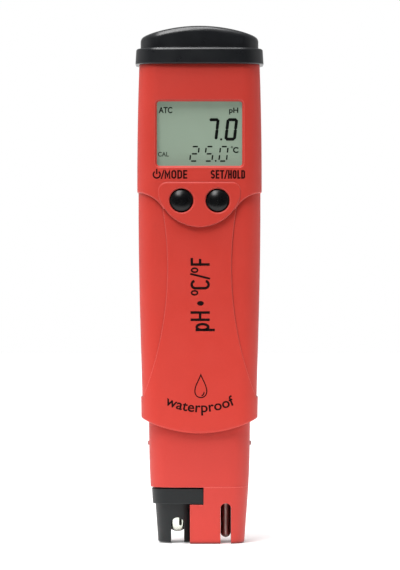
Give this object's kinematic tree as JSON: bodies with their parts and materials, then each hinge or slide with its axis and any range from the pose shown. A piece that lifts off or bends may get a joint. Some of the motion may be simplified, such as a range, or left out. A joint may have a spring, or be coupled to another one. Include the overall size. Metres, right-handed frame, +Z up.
{
  "type": "digital ph meter",
  "caption": "Pocket pH tester: red waisted body, black cap, display over two round buttons, and a slotted foot around a glass-bulb electrode and a temperature probe.",
  "frame": {"origin": "middle of the foot that the meter stands on, at the bottom of the bounding box", "axes": "+Z up along the body to the battery cap, -Y out of the display side, +X to the right of a person reading the display"},
  "size_m": [0.0404, 0.026, 0.163],
  "materials": {
    "housing_red": "satin moulded, fine grain",
    "neck_red": "satin moulded, fine grain",
    "cap_black": "satin moulded",
    "button_black": "polished",
    "window_clear": "clear, polished",
    "seal_rubber": "matte",
    "lcd_glass": "polished",
    "lcd_film": "fine satin film",
    "frame_white": "moulded",
    "strip_rubber": "matte",
    "board_green": "lacquered laminate",
    "chip_black": "moulded",
    "component_tan": "fired",
    "steel": "fine brushed",
    "switch_body": "moulded",
    "chassis_grey": "moulded",
    "cell_steel": "rolled",
    "contact_plate": "plated",
    "wire_jacket": "smooth",
    "electrode_grey": "satin moulded",
    "core_grey": "moulded",
    "cloth_white": "woven wick",
    "bulb_glass": "blown, clear",
    "electrode_wire": "chlorided silver",
    "probe_steel": "drawn",
    "sensor_bead": "glass-coated bead",
    "potting": "cast epoxy"
  },
  "bodies": {
    "meter": {"main_housing": "housing_red", "display_window": "window_clear", "window_gasket": "seal_rubber", "lcd_glass": "lcd_glass", "lcd_reflector": "lcd_film", "lcd_holder": "frame_white", "zebra_strips": "strip_rubber", "main_board": "board_green", "microcontroller": "chip_black", "board_components": "component_tan", "board_screws": "steel", "mode_switch": "switch_body", "hold_switch": "switch_body", "chassis": "chassis_grey", "battery_tray": "chassis_grey", "battery_plate": "contact_plate", "battery_spring": "contact_plate", "battery_leads": "wire_jacket", "button_cell_1": "cell_steel", "button_cell_2": "cell_steel", "button_cell_3": "cell_steel", "button_cell_4": "cell_steel", "probe_neck": "neck_red", "neck_seal": "seal_rubber", "sensor_guard": "neck_red", "electrode_socket": "switch_body", "socket_contacts": "contact_plate", "electrode_cable": "wire_jacket", "temperature_probe": "probe_steel", "thermistor": "sensor_bead", "thermistor_leads": "wire_jacket", "probe_potting": "potting"},
    "mode_button": {"mode_button": "button_black", "mode_button_seal": "seal_rubber", "mode_switch_plunger": "switch_body"},
    "hold_button": {"hold_button": "button_black", "hold_button_seal": "seal_rubber", "hold_switch_plunger": "switch_body"},
    "battery_cap": {"battery_cap": "cap_black", "cap_gasket": "seal_rubber", "cap_screws": "steel"},
    "electrode": {"electrode_shell": "electrode_grey", "electrode_core": "core_grey", "cloth_junction": "cloth_white", "glass_bulb": "bulb_glass", "reference_wire": "electrode_wire", "electrode_plug": "electrode_grey", "electrode_oring": "seal_rubber", "plug_contacts": "contact_plate"}
  },
  "joints": [
    {"name": "mode_button_press", "type": "slide", "parent": "meter", "child": "mode_button", "axis": [0, 1, 0], "range_m": [0, 0.0005], "stiffness_N_per_m": 1500, "springref_m": -0.0003},
    {"name": "hold_button_press", "type": "slide", "parent": "meter", "child": "hold_button", "axis": [0, 1, 0], "range_m": [0, 0.0005], "stiffness_N_per_m": 1500, "springref_m": -0.0003},
    {"name": "battery_cap_lift", "type": "slide", "parent": "meter", "child": "battery_cap", "axis": [0, 0, 1], "range_m": [0, 0.02]},
    {"name": "electrode_turn", "type": "hinge", "parent": "meter", "child": "electrode", "pos_m": [-0.00693, 0, 0.015], "axis": [0, 0, 1], "range_deg": [-45, 0]}
  ]
}
